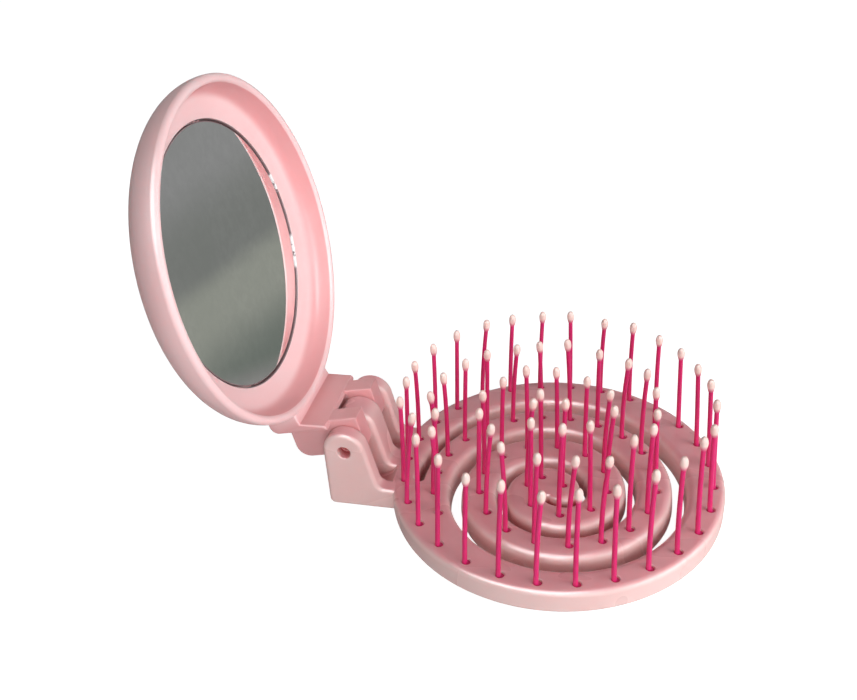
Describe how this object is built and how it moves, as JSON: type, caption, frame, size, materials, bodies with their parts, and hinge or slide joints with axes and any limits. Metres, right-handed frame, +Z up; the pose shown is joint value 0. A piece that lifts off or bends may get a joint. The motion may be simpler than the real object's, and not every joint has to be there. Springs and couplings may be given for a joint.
{
  "type": "folding hairbrush with mirror",
  "caption": "Folding pocket hairbrush: a round disc with pins on its rim and on a coil arm, hinged to a round dished mirror that closes over the pins.",
  "frame": {"origin": "middle of the brush disc on its resting face", "axes": "+Z up out of the disc along the pins, +X away from the hinge through the disc, Y along the hinge axis"},
  "size_m": [0.1162, 0.0744, 0.0942],
  "materials": {
    "brush_shell": "satin moulded pink",
    "ring_cover": "satin moulded pink",
    "coil_cover": "satin moulded pink",
    "pin_magenta": "slightly see-through moulded magenta",
    "tip_cream": "pale dipped coating",
    "hinge_pink": "moulded pink, a little see-through",
    "mirror_shell": "satin moulded pink",
    "mirror_silvered": "clear polished",
    "pad_white": "foam tape"
  },
  "bodies": {
    "brush": {"brush_frame": "brush_shell", "ring_pin_strip": "pin_magenta", "coil_pin_strip": "pin_magenta", "ring_pin_tips": "tip_cream", "coil_pin_tips": "tip_cream", "ring_back_cover": "ring_cover", "coil_back_cover": "coil_cover", "hinge_pin": "hinge_pink"},
    "mirror": {"mirror_frame": "mirror_shell", "mirror_glass": "mirror_silvered", "mirror_adhesive": "pad_white"}
  },
  "joints": [
    {"name": "mirror_hinge", "type": "hinge", "parent": "brush", "child": "mirror", "pos_m": [-0.0455, 0, 0.0152], "axis": [0, -1, 0], "range_deg": [-102, 78]}
  ]
}
